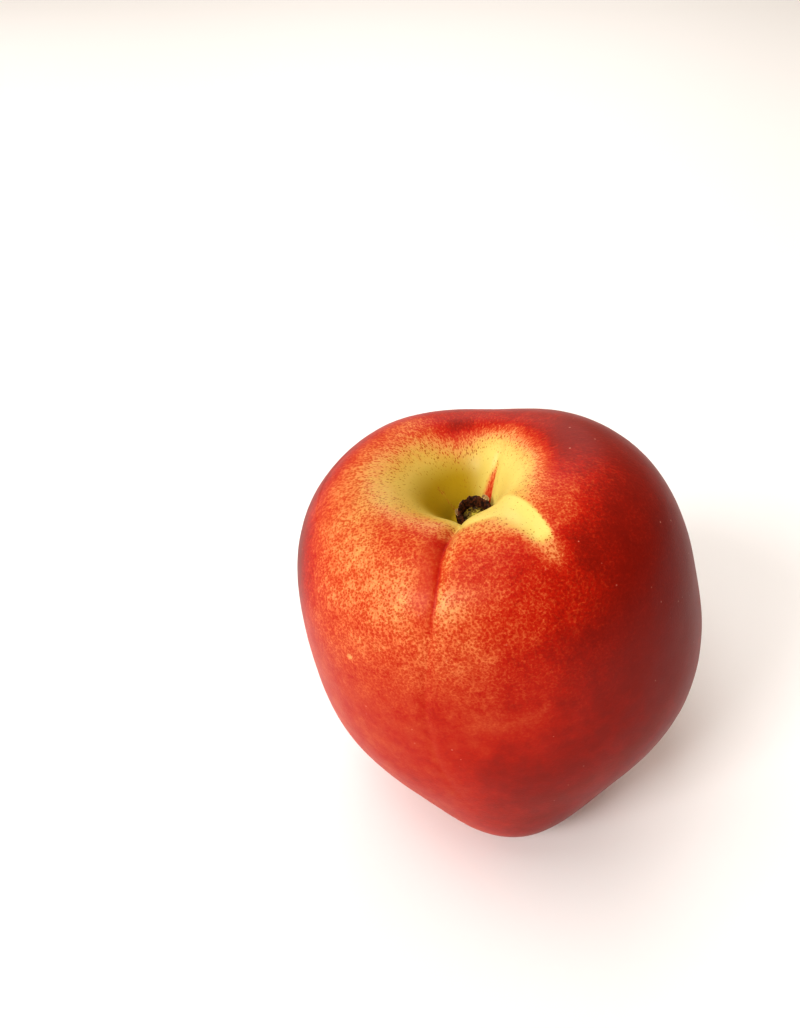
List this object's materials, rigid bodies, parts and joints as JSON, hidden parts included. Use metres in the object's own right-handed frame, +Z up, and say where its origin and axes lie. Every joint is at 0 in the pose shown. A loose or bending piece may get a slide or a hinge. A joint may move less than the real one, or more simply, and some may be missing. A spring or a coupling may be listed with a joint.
{
  "type": "nectarine",
  "caption": "Whole ripe nectarine with a stem cavity, a suture groove and a woody stem stub, resting on a small flat spot.",
  "frame": {"origin": "on the flat spot that the fruit rests on, below its centre of mass", "axes": "+Z up, away from the flat spot; the suture side faces -Y; the stem end leans 12.5 degrees from +Z towards -X"},
  "size_m": [0.0673, 0.0652, 0.0691],
  "materials": {
    "skin": "smooth satin fruit skin, red blush with dark stipple over yellow",
    "stub_bark": "dry matte bark with a fibrous middle"
  },
  "bodies": {
    "root": {"fruit": "skin", "stem_stub": "stub_bark"}
  },
  "joints": []
}
